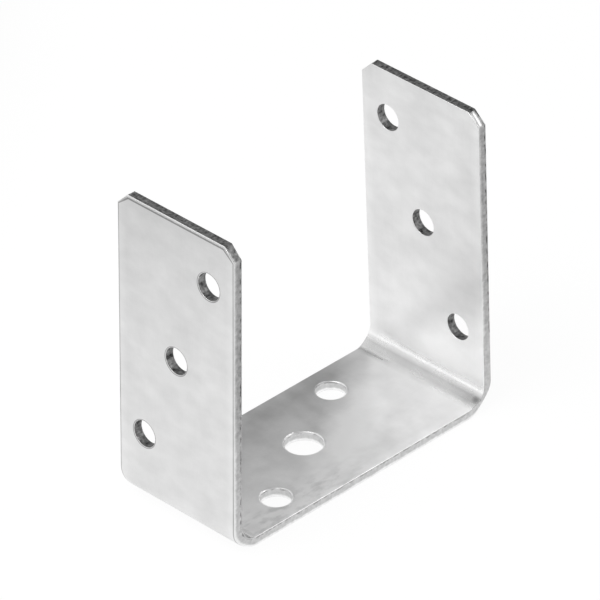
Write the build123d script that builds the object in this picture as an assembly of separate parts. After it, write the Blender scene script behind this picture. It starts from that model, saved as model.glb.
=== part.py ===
"""U bracket: one length of 60 x 4 mm flat bar, punched, bent twice into a U, zinc plated.

Frame: X runs across the U from the left flange to the right one, Y along the width of the
bar, Z up. The origin is on the axis of the hole in the middle of the base, in the plane of
the base's underside. All sizes are in millimetres. Side is -1 on the left and 1 on the right.
"""
import os
from math import cos, radians, sin, tan

from build123d import *

# Flat bar
bar_width = 60.0
thickness = 4.0
corner_cut = 5.0            # 45 degree corner at each end of the bar
edge_roll = 0.6             # rounding that the shear and the punch leave where they enter

# Bends
inside_radius = 8.0
width_over_bends = 136.0
height = 132.0
toe_in = 1.5                # degrees that each flange is bent past square
base_offset = 2.0           # from the hole in the middle of the base to the middle of the U
neck_depth = 0.9            # how far the stretched outer skin draws in at each end of a bend
ear_height = 0.3            # how far the squeezed inner skin swells out there
ear_length = 11.0           # along the bend
ear_section_radius = 6.0    # through the thickness

# Holes in each flange: one in the middle, one above and one below it, on opposite sides
flange_hole_diameter = 11.0
flange_middle_from_end = 60.0
flange_hole_rise = 39.5
flange_hole_stagger = 17.0

# Holes in the base: one in the middle and one on each side of it
base_middle_diameter = 15.0
base_side_diameter = 12.0
base_side_reach = 32.0
base_side_stagger = 17.5

outside_radius = inside_radius + thickness
bend_angle = 90 + toe_in
tangent_length = outside_radius * tan(radians(bend_angle / 2))
corner_x = width_over_bends / 2 - outside_radius + tangent_length
tip_x = corner_x - height * tan(radians(toe_in))
side_y = bar_width / 2


def bent_bar(width):
    """A bar of this width, bent: the outer skin's line, thickened inwards and run along Y."""
    skin = FilletPolyline(
        (-tip_x, height), (-corner_x, 0), (corner_x, 0), (tip_x, height), radius=outside_radius
    )
    section = make_face(offset(skin, thickness, side=Side.LEFT, closed=True).edges())
    bar = extrude(Plane.XZ * section, width / 2, both=True)
    return Pos(base_offset, 0, 0) * bar


def flange_plane(side):
    """Plane on a flange's outer skin, at the middle of its tip: local Z points out of the U
    and local Y up the flange."""
    lean = radians(toe_in)
    return Plane(
        origin=(base_offset + side * tip_x, 0, height),
        x_dir=(0, side, 0),
        z_dir=(side * cos(lean), 0, sin(lean)),
    )


def bend_plane(side):
    """Plane at a bend's centre: local X points out through the middle of the bend and local Y
    along the bar's width."""
    centre_x = width_over_bends / 2 - outside_radius
    middle = radians(90 - bend_angle / 2)
    return Plane(
        origin=(base_offset + side * centre_x, 0, outside_radius),
        x_dir=(side * cos(middle), 0, -sin(middle)),
        z_dir=(side * sin(middle), 0, cos(middle)),
    )


def crop_corners(bar):
    """Cut the two corners off each tip of the bar."""
    tips = bar.edges().filter_by_position(Axis.Z, height - thickness, height)
    corners = [edge for edge in tips if abs(abs(edge.center().Y) - side_y) < 0.01
               and abs(edge.length - thickness) < 0.01]
    return chamfer(corners, corner_cut)


def neck_cutter():
    """What a bend loses at its two ends, in its bend_plane: from the inner skin to the outer
    one, the side of the bar curves in by neck_depth."""
    curve_radius = thickness**2 / (2 * neck_depth)
    kept_depth = 2.01 * curve_radius    # a little more than its two rounded corners need
    along_bend = 3 * outside_radius
    blank = Pos(inside_radius + thickness, 0, 0) * Box(2 * thickness, bar_width + 2, along_bend)
    kept = Pos(inside_radius, 0, 0) * Box(kept_depth, bar_width, along_bend)
    return blank - fillet(kept.edges().filter_by(Axis.Z), curve_radius)


def ear():
    """Low swelling at one end of a bend's inner skin, in its bend_plane: the part of a ring
    that breaks through the side of the bar, with a root inside it."""
    reach = (ear_length / 2) ** 2 / (2 * ear_height)
    ring = Rot(0, 90, 0) * Torus(reach - ear_section_radius, ear_section_radius)
    ring = Pos(inside_radius, side_y + ear_height - reach, 0) * ring
    root = 0.5
    slab = Pos(inside_radius, side_y, 0) * Box(3 * thickness, 2 * root, ear_length)
    return ring & slab


def form_bends(bar):
    """Give both bends their drawn-in outer skin and their swollen inner skin."""
    blank = bent_bar(bar_width + 2)
    for side in (-1, 1):
        bar -= bend_plane(side).location * neck_cutter()
        for turn in (0, 180):
            bar += bend_plane(side).location * Rot(turn, 0, 0) * ear() & blank
    return bar


def roll_edges(bar):
    """Round every outline edge of the outer skin. The inner skin's edges stay sharp."""
    inside = Vector(base_offset, 0, height / 2)
    rims = []
    for face in bar.faces():
        point = face.position_at(0.5, 0.5)
        normal = face.normal_at(point)
        if abs(normal.Y) < 0.01 and normal.Z < 0.5 and (point - inside).dot(normal) > 0:
            rims += face.edges()
    outline = [edge for edge in rims if sum(edge.is_same(other) for other in rims) == 1]
    return fillet(outline, edge_roll)


def punch(diameter):
    """Tool for one hole, in a plane on the skin that it enters: the mouth is flared by
    edge_roll."""
    radius = diameter / 2
    mouth = radius + edge_roll
    flare = CenterArc((mouth, -edge_roll), edge_roll, 90, 90)
    wall = Polyline((mouth, 0), (mouth, 1), (0, 1), (0, -2 * thickness),
                    (radius, -2 * thickness), (radius, -edge_roll))
    return revolve(Plane.XZ * make_face([flare, wall]), Axis.Z)


def punch_holes(bar):
    """Three holes in each flange, punched from outside, and three in the base, punched from
    above. Each row slants across the bar."""
    for place in (-1, 0, 1):
        across = place * flange_hole_stagger
        up = place * flange_hole_rise - flange_middle_from_end
        for side in (-1, 1):
            bar -= flange_plane(side).location * Pos(across, up, 0) * punch(flange_hole_diameter)
        diameter = base_side_diameter if place else base_middle_diameter
        at = Pos(place * base_side_reach, place * base_side_stagger, thickness)
        bar -= at * punch(diameter)
    return bar


u_bracket = crop_corners(bent_bar(bar_width))
u_bracket = form_bends(u_bracket)
u_bracket = roll_edges(u_bracket)
u_bracket = punch_holes(u_bracket)

os.makedirs("parts", exist_ok=True)
export_step(u_bracket, "parts/u_bracket.step")
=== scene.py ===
from math import atan, cos, pi, radians, sin, sqrt

import bmesh
import bpy
from mathutils import Matrix, Vector, noise


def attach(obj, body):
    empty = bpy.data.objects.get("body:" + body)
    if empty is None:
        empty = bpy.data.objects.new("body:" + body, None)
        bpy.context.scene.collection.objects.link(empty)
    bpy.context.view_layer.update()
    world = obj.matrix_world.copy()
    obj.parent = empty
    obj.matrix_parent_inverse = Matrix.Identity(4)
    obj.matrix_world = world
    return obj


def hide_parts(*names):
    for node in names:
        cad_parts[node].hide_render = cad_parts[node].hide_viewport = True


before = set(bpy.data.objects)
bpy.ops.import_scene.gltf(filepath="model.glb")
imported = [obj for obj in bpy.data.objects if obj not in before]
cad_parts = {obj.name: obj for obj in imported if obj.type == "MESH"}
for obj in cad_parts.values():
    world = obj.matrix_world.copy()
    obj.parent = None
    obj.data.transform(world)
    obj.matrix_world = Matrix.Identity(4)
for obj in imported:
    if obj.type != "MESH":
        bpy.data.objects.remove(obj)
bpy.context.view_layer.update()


# The blank is a length of 60 x 4 mm flat bar, sheared off with its corners cropped and punched
# with nine holes. It is made flat, X along the bar from its middle and Z up from the skin that
# ends on the outside of the U, so that the bends carry the sheared and punched edges with them.
thickness = 0.004
side_y = 0.030                          # half the width of the bar
corner_cut = 0.005
base_reach = 0.056                      # from the middle of the U to the start of each bend
bend_length = 0.01597                   # of bar that goes into one bend
flange_length = 0.11973                 # beyond the bend
flange_start = base_reach + bend_length
half_bar = flange_start + flange_length

blank = bmesh.new()
inward = blank.verts.layers.float_vector.new("inward")
share = blank.verts.layers.float.new("share_of_sag")


def cut_profile(sag_width, sag_depth, edge=0.00015):
    """(inset, height) down a cut, from the skin that the tool enters: that skin sags towards
    the cut and rounds into the wall, and the other skin ends in a crisp edge."""
    lip = sag_depth / 2                 # radius that rounds the sag into the wall
    slope = atan(2 * sag_depth / (sag_width - lip))
    rounds_from = lip * (1 - sin(slope))
    sag = [(rounds_from + (sag_width - rounds_from) * (1 - k), sag_depth * k ** 2)
           for k in (0, 0.2, 0.4, 0.6, 0.8, 1)]
    angles = [slope + (pi / 2 - slope) * k / 4 for k in range(1, 5)]
    sag += [(lip * (1 - sin(a)), sag_depth + lip * (cos(slope) - cos(a))) for a in angles]
    top = sag[-1][1]
    wall = [(0, top + (thickness - edge - top) * k / 9) for k in range(1, 10)]
    return sag + wall + [(0.4 * edge, thickness - 0.3 * edge), (edge, thickness)]


def cut_through(corners, width, depth, is_hole, from_above=False):
    """Runs the profile of a cut round a closed line of corners. The sag is as wide and deep as
    each corner's own share says."""
    for v in corners:
        ways = [(e.other_vert(v).co - v.co).normalized() for e in v.link_edges]
        middle = (ways[0] + ways[1]).normalized()
        v[inward] = middle / abs(ways[0].cross(middle).z) * (-1 if is_hole else 1)

    def step(v, k):
        steps = cut_profile(width * v[share], depth * v[share])
        return (steps[-1 - k][0], thickness - steps[-1 - k][1]) if from_above else steps[k]

    rim = list(dict.fromkeys(e for v in corners for e in v.link_edges))
    for v in corners:
        inset, v.co.z = step(v, 0)
        v.co += v[inward] * inset
    for k in range(1, len(cut_profile(width, depth))):
        made = bmesh.ops.extrude_edge_only(blank, edges=rim)["geom"]
        rim = [g for g in made if isinstance(g, bmesh.types.BMEdge)]
        for v in dict.fromkeys(v for e in rim for v in e.verts):
            inset, v.co.z = step(v, k)
            v.co += v[inward] * (inset - step(v, k - 1)[0])


def slice_across(x):
    """Divides every face that crosses a plane across the bar, and gives the new edges."""
    everything = blank.verts[:] + blank.edges[:] + blank.faces[:]
    return bmesh.ops.bisect_plane(blank, geom=everything, dist=1e-6, plane_co=(x, 0, 0),
                                  plane_no=(1, 0, 0))["geom_cut"]


def punch(x, y, radius, sag_width, sag_depth, from_above=False):
    ring = bmesh.ops.create_circle(blank, segments=96, radius=radius,
                                   matrix=Matrix.Translation((x, y, 0)))["verts"]
    for v in ring:
        v[share] = 1
    cut_through(ring, sag_width, sag_depth, is_hole=True, from_above=from_above)


sheared_sag = (0.0016, 0.00032)         # width and depth at the ends of the bar
side_share = 0.5                        # of that sag, along its sides
outline = [(half_bar, side_y - corner_cut), (half_bar - corner_cut, side_y)]
outline += [(-x, y) for x, y in reversed(outline)]
outline += [(-x, -y) for x, y in outline]
corners = [blank.verts.new((x, y, 0)) for x, y in outline]
for pair in zip(corners, corners[1:] + corners[:1]):
    blank.edges.new(pair)
for v in corners:
    v[share] = 1 if abs(v.co.x) > half_bar - corner_cut / 2 else side_share
cut_through(corners, *sheared_sag, is_hole=False)

# Each skin is filled in five strips, so that no face of a bend runs on into a flat.
bend_limits = (-flange_start, -base_reach, base_reach, flange_start)
for x in bend_limits:
    split = slice_across(x)
    ends = [v for v in split if isinstance(v, bmesh.types.BMVert) and v.is_boundary]
    for height in (0, thickness):
        blank.edges.new([v for v in ends if abs(v.co.z - height) < 1e-6])

base_sag = (0.0009, 0.0003)
base_row = -0.002                       # isn't quite in the middle of the U
middle_hole_radius = 0.0075
outer_hole_radius = 0.006
outer_hole = (0.032, 0.0175)            # along and across the bar, from the middle hole
punch(base_row, 0, middle_hole_radius, *base_sag, from_above=True)
for side in (-1, 1):
    punch(base_row + side * outer_hole[0], side * outer_hole[1], outer_hole_radius, *base_sag,
          from_above=True)
flange_sag = (0.0006, 0.00015)
flange_hole_radius = 0.0055
flange_holes = ((0.017, 0.09923), (0, 0.05973), (-0.017, 0.02023))      # over, up from the bend
for side in (-1, 1):
    for over, up in flange_holes:
        punch(side * (flange_start + up), side * over, flange_hole_radius, *flange_sag)
for low, high in zip((-1, *bend_limits), (*bend_limits, 1)):
    for height in (0, thickness):
        bmesh.ops.triangle_fill(blank, use_beauty=True, edges=[
            e for e in blank.edges if len(e.link_faces) < 2
            and all(abs(v.co.z - height) < 1e-6 and low < v.co.x + 1e-6
                    and v.co.x - 1e-6 < high for v in e.verts)])
bmesh.ops.recalc_face_normals(blank, faces=blank.faces[:])

columns = 20                            # of faces round each bend
flat_strip = 0.0002                     # beside each bend, so that the flats shade flat
ruled = [base_reach + bend_length * k / columns for k in range(columns + 1)]
for x in (base_reach - flat_strip, *ruled, flange_start + flat_strip):
    for side in (-1, 1):
        slice_across(side * x)
torn_spacing = 0.0016                   # of the edges across the walls that get torn
torn_shift = 0.37                       # of a spacing, which keeps them off the other edges
for axis, reach in ((Vector((1, 0, 0)), half_bar), (Vector((0, 1, 0)), side_y)):
    for k in range(int(-reach / torn_spacing), int(reach / torn_spacing)):
        walls = [f for f in blank.faces if abs(f.normal.z) < 0.1 and len(f.verts) == 4
                 and max(abs(f.normal.dot(v.co)) for v in f.verts) > side_y - 1e-4]
        around = list(dict.fromkeys(g for f in walls for g in (*f.verts, *f.edges)))
        bmesh.ops.bisect_plane(blank, geom=around + walls, dist=1e-5,
                               plane_co=axis * (k + torn_shift) * torn_spacing, plane_no=axis)

place = blank.verts.layers.float_vector.new("bar_place")
for v in blank.verts:
    v[place] = v.co
for f in blank.faces:
    f.smooth = True
    f.material_index = int(abs(f.normal.z) < 0.1)

# Down a cut, the tool slides past a burnished band before the steel breaks. Below that band
# the wall is torn back by up to 0.15 mm, and rough.
burnished = 0.0014                      # depth, before it wavers
waver = 0.0005
torn_depth = 0.00015
torn_within = 0.0005                    # of depth
for v in blank.verts:
    if all(f.material_index for f in v.link_faces):
        starts = burnished + waver * noise.noise(v.co.xy.to_3d() * 220)
        torn = min(1, max(0, (v.co.z - starts) / torn_within))
        v.co -= v.normal * torn_depth * torn * (0.55 + 0.45 * noise.noise(v.co * 450))

# A press folds the bar round an 8 mm punch, 1.5 degrees past square. In the bends the stretched
# skin draws in at both sides of the bar, the squeezed skin swells there, and the punch
# rubs the inside smooth.
inside_radius = 0.008
outside_radius = inside_radius + thickness
bend_angle = radians(91.5)
middle_x = 0.002                        # of the U, from the axis of the middle hole
neck_depth = 0.0009
neck_radius = thickness ** 2 / (2 * neck_depth)
ear_height = 0.0003
ear_reach = 0.0055
ear_section = 0.006
side_zone = 0.006                       # of the width at each side, which draws in or swells
zone_blend = 0.004
rubbed = blank.verts.layers.float.new("rubbed")
for v in blank.verts:
    side = -1 if v.co.x < 0 else 1
    past = abs(v.co.x) - base_reach
    angle = bend_angle * min(1, max(0, past / bend_length))
    beyond = max(0, past - bend_length)
    radius = outside_radius - v.co.z
    x, y, z = abs(v.co.x), abs(v.co.y), v.co.z
    if 0 < past < bend_length:
        off = angle - bend_angle / 2
        out = radius * cos(off) - inside_radius
        round_bend = radius * sin(off)
        near_side = min(1, max(0, (y - side_y + side_zone) / zone_blend))
        if out > 0:
            y -= near_side * (neck_radius - sqrt(neck_radius ** 2 - out ** 2))
        swell = ear_height * (1 - (round_bend / ear_reach) ** 2) - out ** 2 / (2 * ear_section)
        y += near_side * max(0, swell)
    if past > 0:
        x = base_reach + radius * sin(angle) + beyond * cos(angle)
        z = outside_radius - radius * cos(angle) + beyond * sin(angle)
    v.co = (middle_x + side * x, y if v.co.y > 0 else -y, z)
    from_ends = min(past, bend_length - past) / (0.15 * bend_length)
    v[rubbed] = min(1, max(0, from_ends)) if v[place].z > 0.9 * thickness else 0

bar_mesh = bpy.data.meshes.new("zinc_plated_bar")
blank.to_mesh(bar_mesh)
blank.free()
bar = bpy.data.objects.new("zinc_plated_bar", bar_mesh)
bpy.context.scene.collection.objects.link(bar)
even = bar.modifiers.new("even_skins", "WEIGHTED_NORMAL")
even.keep_sharp = True

# The skins carry bright zinc, thin enough to show the grain of the rolled bar: satin, faintly
# clouded by handling, and smoother where the punch rubbed it. Its colour carries painted
# reflection and shade on the base, the flanges and the bends. Its patterns follow the flat bar,
# and turn with it through the bends.


def metal(name):
    """A metal finish: its shader, then the place on the flat bar whole, along it, across it and
    in from the outer skin."""
    made = bpy.data.materials.new(name)
    made.use_nodes = True
    bar_mesh.materials.append(made)
    nodes, links = made.node_tree.nodes, made.node_tree.links
    nodes["Principled BSDF"].inputs["Metallic"].default_value = 1
    on_bar = nodes.new("ShaderNodeAttribute")
    on_bar.attribute_name = "bar_place"
    apart = nodes.new("ShaderNodeSeparateXYZ")
    links.new(on_bar.outputs["Vector"], apart.inputs["Vector"])
    return nodes["Principled BSDF"], on_bar.outputs["Vector"], *apart.outputs


def clouds(vector, size, stretch=(1, 1, 1), detail=3):
    """Noise with blobs of about this size in metres, drawn out along an axis by a stretch."""
    tree = vector.id_data
    scaled = tree.nodes.new("ShaderNodeMapping")
    scaled.inputs["Scale"].default_value = [1 / (size * s) for s in stretch]
    cloud = tree.nodes.new("ShaderNodeTexNoise")
    cloud.inputs["Scale"].default_value = 1
    cloud.inputs["Detail"].default_value = detail
    tree.links.new(vector, scaled.inputs["Vector"])
    tree.links.new(scaled.outputs["Vector"], cloud.inputs["Vector"])
    return cloud.outputs["Fac"]


def ramp(value, start, end, low=0, high=1):
    """Goes from low to high as the value goes from start to end, and stays level outside."""
    tree = value.id_data
    ranged = tree.nodes.new("ShaderNodeMapRange")
    for name, number in (("From Min", start), ("From Max", end), ("To Min", low),
                         ("To Max", high)):
        ranged.inputs[name].default_value = number
    tree.links.new(value, ranged.inputs["Value"])
    return ranged.outputs["Result"]


def spread(cloud, low, high):
    """Maps the middle of a noise, where nearly all of it lies, to low..high."""
    return ramp(cloud, 0.3, 0.7, low, high)


def combine(operation, first, *others):
    """Runs a Math node down a row of sockets and numbers."""
    tree = next(v.id_data for v in (first, *others) if isinstance(v, bpy.types.NodeSocket))
    for other in others or (0,):
        node = tree.nodes.new("ShaderNodeMath")
        node.operation = operation
        for socket, value in zip(node.inputs, (first, other)):
            if isinstance(value, bpy.types.NodeSocket):
                tree.links.new(value, socket)
            else:
                socket.default_value = value
        first = node.outputs["Value"]
    return first


def total(*values):
    return combine("ADD", *values)


def product(*values):
    return combine("MULTIPLY", *values)


def band(value, rise, fall):
    """A mask that is 1 between a rise and a fall, each given as where it starts and ends."""
    return product(ramp(value, *rise), ramp(value, *fall, 1, 0))


shader, spot, along, across, depth = metal("bright_zinc")
nodes, links = shader.id_data.nodes, shader.id_data.links
from_middle = combine("ABSOLUTE", along)
to_side = combine("ABSOLUTE", across)
broad = clouds(spot, 0.018, (1.5, 1, 1))
handled = clouds(spot, 0.006, (1, 1.7, 1))
grain = clouds(spot, 0.0009, (6, 1, 1))
satin = total(spread(broad, 0.77, 0.815), spread(handled, -0.03, 0.03),
              spread(grain, -0.006, 0.006))

# The base's colour carries painted reflection: dark in its far corner on the left and lighter
# from there, brightest in a slanting band. Dark smudges lie near its edge.
on_base = product(ramp(from_middle, base_reach, base_reach + 0.004, 1, 0),
                  ramp(along, 0.038, 0.058, 1, 0))
slanting = total(along, product(across, -1.5))
painted_reflection_left = product(ramp(across, -0.024, 0.024, 0.15, -0.26), ramp(slanting, 0.002, 0.024, 1, 0))
painted_reflection_band = total(ramp(slanting, 0.002, 0.024, 0, 0.20), ramp(slanting, 0.028, 0.050, 0, -0.16))
smudges = product(ramp(clouds(spot, 0.004, (2, 1, 1)), 0.46, 0.62),
                  ramp(across, -0.023, -0.013, 1, 0), ramp(along, -0.02, 0.01, 1, 0), -0.2)
painted_reflection_and_smudges = total(painted_reflection_left, painted_reflection_band, spread(clouds(spot, 0.011), -0.07, 0.05), smudges)

# The colour is lighter in a strip along each edge of the bar. Where the cuts drew the outer skin
# down, a thin dark line is painted shade. One flange is brighter above its bend, a painted
# reflection, and the other a little duller, painted shade.
lighter_edge_strip = ramp(to_side, 0.0255, 0.0285, 0, 0.05)
painted_shade_line = product(band(depth, (0, 0.00001), (0.00006, 0.0001)), -0.4)
painted_reflection_foot = product(band(along, (0.066, 0.073), (0.078, 0.115)),
                      ramp(across, -0.002, 0.022, 0.198, 0.054))
painted_shade_foot = product(band(along, (-0.16, -0.11), (-0.075, -0.06)), -0.045)

# The punch rubbed the inside of the bends. A dark band along the base side of each bend is
# painted shade, deeper on the left bend and towards the near side, and a dark spot at the near
# end of one is painted shade.
rubbed_inside = nodes.new("ShaderNodeAttribute")
rubbed_inside.attribute_name = "rubbed"
rubbed_inside = rubbed_inside.outputs["Fac"]
painted_shade_in_bends = total(ramp(from_middle, 0.0585, 0.061, -0.08, -0.28),
                ramp(from_middle, 0.064, 0.066, 0, 0.3), ramp(along, -0.01, 0.01, -0.12, 0))
painted_shade_in_bends = product(painted_shade_in_bends, ramp(across, -0.027, -0.012, 1.5, 1), rubbed_inside)
to_shade_spot = nodes.new("ShaderNodeVectorMath")
to_shade_spot.operation = "DISTANCE"
to_shade_spot.inputs[1].default_value = (0.0628, -0.0284, thickness)
links.new(spot, to_shade_spot.inputs[0])
painted_shade_spot = ramp(to_shade_spot.outputs["Value"], 0.0006, 0.0024, -0.2, 0)

links.new(total(satin, product(painted_reflection_and_smudges, on_base), lighter_edge_strip, painted_shade_line, painted_reflection_foot, painted_shade_foot,
                painted_shade_in_bends, painted_shade_spot), shader.inputs["Base Color"])
links.new(total(spread(broad, 0.37, 0.32), spread(handled, 0.03, -0.03),
                product(rubbed_inside, -0.07)), shader.inputs["Roughness"])
bump = nodes.new("ShaderNodeBump")
bump.inputs["Strength"].default_value = 0.3
bump.inputs["Distance"].default_value = 0.00002
links.new(handled, bump.inputs["Height"])
links.new(bump.outputs["Normal"], shader.inputs["Normal"])

# Down the cuts the metal is burnished first and then torn. Zinc has brightened the sides of
# the bar and the holes in the base; the ends and the flange holes are bare dark steel. One
# flange was sheared from its other side, so its depths are turned round.
shader, spot, along, across, depth = metal("sheared_steel")
nodes, links = shader.id_data.nodes, shader.id_data.links
from_middle = combine("ABSOLUTE", along)
to_side = combine("ABSOLUTE", across)
streaks = clouds(spot, 0.0007, (1, 1, 100))
mottle = clouds(spot, 0.0014, detail=4)
turned_round = product(total(product(depth, -2), thickness), ramp(along, 0.06, 0.10))
depth = total(depth, turned_round, ramp(clouds(spot, 0.004), 0, 1, -0.0005, 0.0005))
torn_part = ramp(depth, 0.0006, 0.0014)
in_base_hole = product(ramp(from_middle, base_reach, base_reach + 0.004, 1, 0),
                       ramp(to_side, 0.0285, 0.029, 1, 0))
# the middle of the cropped corners at the right end is smoother, and its colour carries a painted
# highlight
painted_highlight_smooth_band = product(band(depth, (0.0012, 0.0018), (0.0021, 0.0027)),
                    ramp(along, half_bar - corner_cut, half_bar - corner_cut + 0.0005, 0, 0.4))
# a broken dark line, where the cracks from both skins met
met = product(band(depth, (0.0029, 0.0032), (0.0034, 0.0037)),
              ramp(clouds(spot, 0.003), 0.45, 0.6), -0.3)
zinc_tone = total(product(ramp(torn_part, 0, 1, 0.74, 0.50),
                          ramp(from_middle, 0.06, 0.13, 1.2, 0.72)),
                  product(in_base_hole, 0.08), painted_highlight_smooth_band, spread(mottle, -0.08, 0.08), met)
bare_tone = total(spread(mottle, 0.04, 0.30), spread(streaks, -0.05, 0.06))

at_end = ramp(from_middle, half_bar - 0.0004, half_bar - 0.0002)
cropped = ramp(along, -half_bar + corner_cut - 0.0004, -half_bar + corner_cut, 0.7, 0)
in_flange_hole = product(ramp(from_middle, 0.08, 0.081), ramp(to_side, 0.0235, 0.024, 1, 0))
mix = nodes.new("ShaderNodeMix")
mix.data_type = "FLOAT"
links.new(combine("MAXIMUM", at_end, cropped, in_flange_hole), mix.inputs["Factor"])
links.new(zinc_tone, mix.inputs["A"])
links.new(bare_tone, mix.inputs["B"])
links.new(mix.outputs["Result"], shader.inputs["Base Color"])
links.new(total(ramp(torn_part, 0, 1, 0.34, 0.5), product(painted_highlight_smooth_band, -0.4)),
          shader.inputs["Roughness"])

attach(bar, "root")
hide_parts("u_bracket")

# The bracket stands on a wide sheet of white paper. The paper looks white to the eye and in the
# metal, and there it dims towards the back left, where the light on it falls off.
floor_reach = 12
floor_drop = 0.00002                    # under the bracket, so that the two don't share a plane
floor_mesh = bpy.data.meshes.new("floor")
floor = bpy.data.objects.new("floor", floor_mesh)
bpy.context.scene.collection.objects.link(floor)
sheet = bmesh.new()
bmesh.ops.create_grid(sheet, x_segments=1, y_segments=1, size=floor_reach)
bmesh.ops.translate(sheet, verts=sheet.verts, vec=(0, 0, -floor_drop))
sheet.to_mesh(floor_mesh)
sheet.free()
white = bpy.data.materials.new("white_sheet")
white.use_nodes = True
nodes, links = white.node_tree.nodes, white.node_tree.links
paper = nodes["Principled BSDF"]
paper.inputs["Base Color"].default_value = (0.8, 0.8, 0.8, 1)
paper.inputs["Roughness"].default_value = 0.9
paper.inputs["Specular IOR Level"].default_value = 0
to_back_left = nodes.new("ShaderNodeVectorMath")
to_back_left.operation = "DOT_PRODUCT"
to_back_left.inputs[1].default_value = (-0.64, 0.77, 0)
links.new(nodes.new("ShaderNodeTexCoord").outputs["Object"], to_back_left.inputs[0])
lit = ramp(to_back_left.outputs["Value"], 0.11, 0.5, 1.03, 0.42)
lit.node.interpolation_type = "SMOOTHSTEP"
path = nodes.new("ShaderNodeLightPath").outputs
glow = nodes.new("ShaderNodeEmission")
links.new(combine("MAXIMUM", lit, path["Is Camera Ray"]), glow.inputs["Strength"])
seen = combine("MAXIMUM", path["Is Camera Ray"], path["Is Glossy Ray"],
               path["Is Transmission Ray"])
kept_white = nodes.new("ShaderNodeMixShader")
links.new(product(seen, 0.9), kept_white.inputs["Fac"])
links.new(paper.outputs["BSDF"], kept_white.inputs[1])
links.new(glow.outputs["Emission"], kept_white.inputs[2])
links.new(kept_white.outputs["Shader"], nodes["Material Output"].inputs["Surface"])
floor_mesh.materials.append(white)

# Soft light comes from five square panels that face the bracket: the strongest above it on the
# left, one at the camera's side, and weaker ones at the left and behind.
lit_middle = Vector((0, 0, 0.06))
panel_distance = 1.4
for name, azimuth, elevation, size, radiance in (
        ("above_left", 180, 64, 0.8, 4), ("left", 172, 36, 0.8, 1.2), ("back", 115, 42, 1.4, 0.8),
        ("back_right", 40, 33, 0.8, 0.33), ("front", -43, 38, 0.8, 2)):
    panel = bpy.data.lights.new(name, "AREA")
    panel.shape = "SQUARE"
    panel.size = size
    panel.energy = radiance * pi * size ** 2
    lamp = bpy.data.objects.new(name, panel)
    bpy.context.scene.collection.objects.link(lamp)
    azimuth, elevation = radians(azimuth), radians(elevation)
    towards = Vector((cos(azimuth) * cos(elevation), sin(azimuth) * cos(elevation),
                      sin(elevation)))
    lamp.rotation_mode = "QUATERNION"
    lamp.rotation_quaternion = (-towards).to_track_quat("-Z", "Y")
    lamp.location = lit_middle + towards * panel_distance
    lamp.visible_camera = False

# Pale walls stand all round, brightest at the level of the floor, where they meet it in a band,
# and a little brighter again overhead.
walls = bpy.data.worlds.new("pale_walls")
walls.use_nodes = True
nodes, links = walls.node_tree.nodes, walls.node_tree.links
height = nodes.new("ShaderNodeSeparateXYZ")
links.new(nodes.new("ShaderNodeTexCoord").outputs["Generated"], height.inputs["Vector"])
height_squared = combine("POWER", height.outputs["Z"], 2)
horizon = product(combine("EXPONENT", product(height_squared, -14)), 1.45)
links.new(total(horizon, product(height_squared, 0.35), 0.08),
          nodes["Background"].inputs["Strength"])
nodes["Background"].inputs["Color"].default_value = (1, 1, 1, 1)
bpy.context.scene.world = walls

# The camera stands 2.6 m off with a long lens, in front on the left and above the bracket, and
# leans by a degree.
camera_data = bpy.data.cameras.new("camera")
camera = bpy.data.objects.new("camera", camera_data)
bpy.context.scene.collection.objects.link(camera)
bpy.context.scene.camera = camera
camera_data.lens = 416.012
camera_data.sensor_width = 36
camera_data.clip_end = 20
azimuth, elevation, lean = radians(-44.5303), radians(33.4154), radians(-0.9823)
aim = Vector((0.000961, 0.001757, 0.066795))
distance = 2.5598
back = Vector((sin(azimuth) * cos(elevation), -cos(azimuth) * cos(elevation), sin(elevation)))
turned = (-back).to_track_quat("-Z", "Y")
camera.rotation_mode = "QUATERNION"
camera.rotation_quaternion = turned @ Matrix.Rotation(lean, 3, "Z").to_quaternion()
camera.location = aim + back * distance

bpy.context.scene.view_settings.view_transform = "Standard"
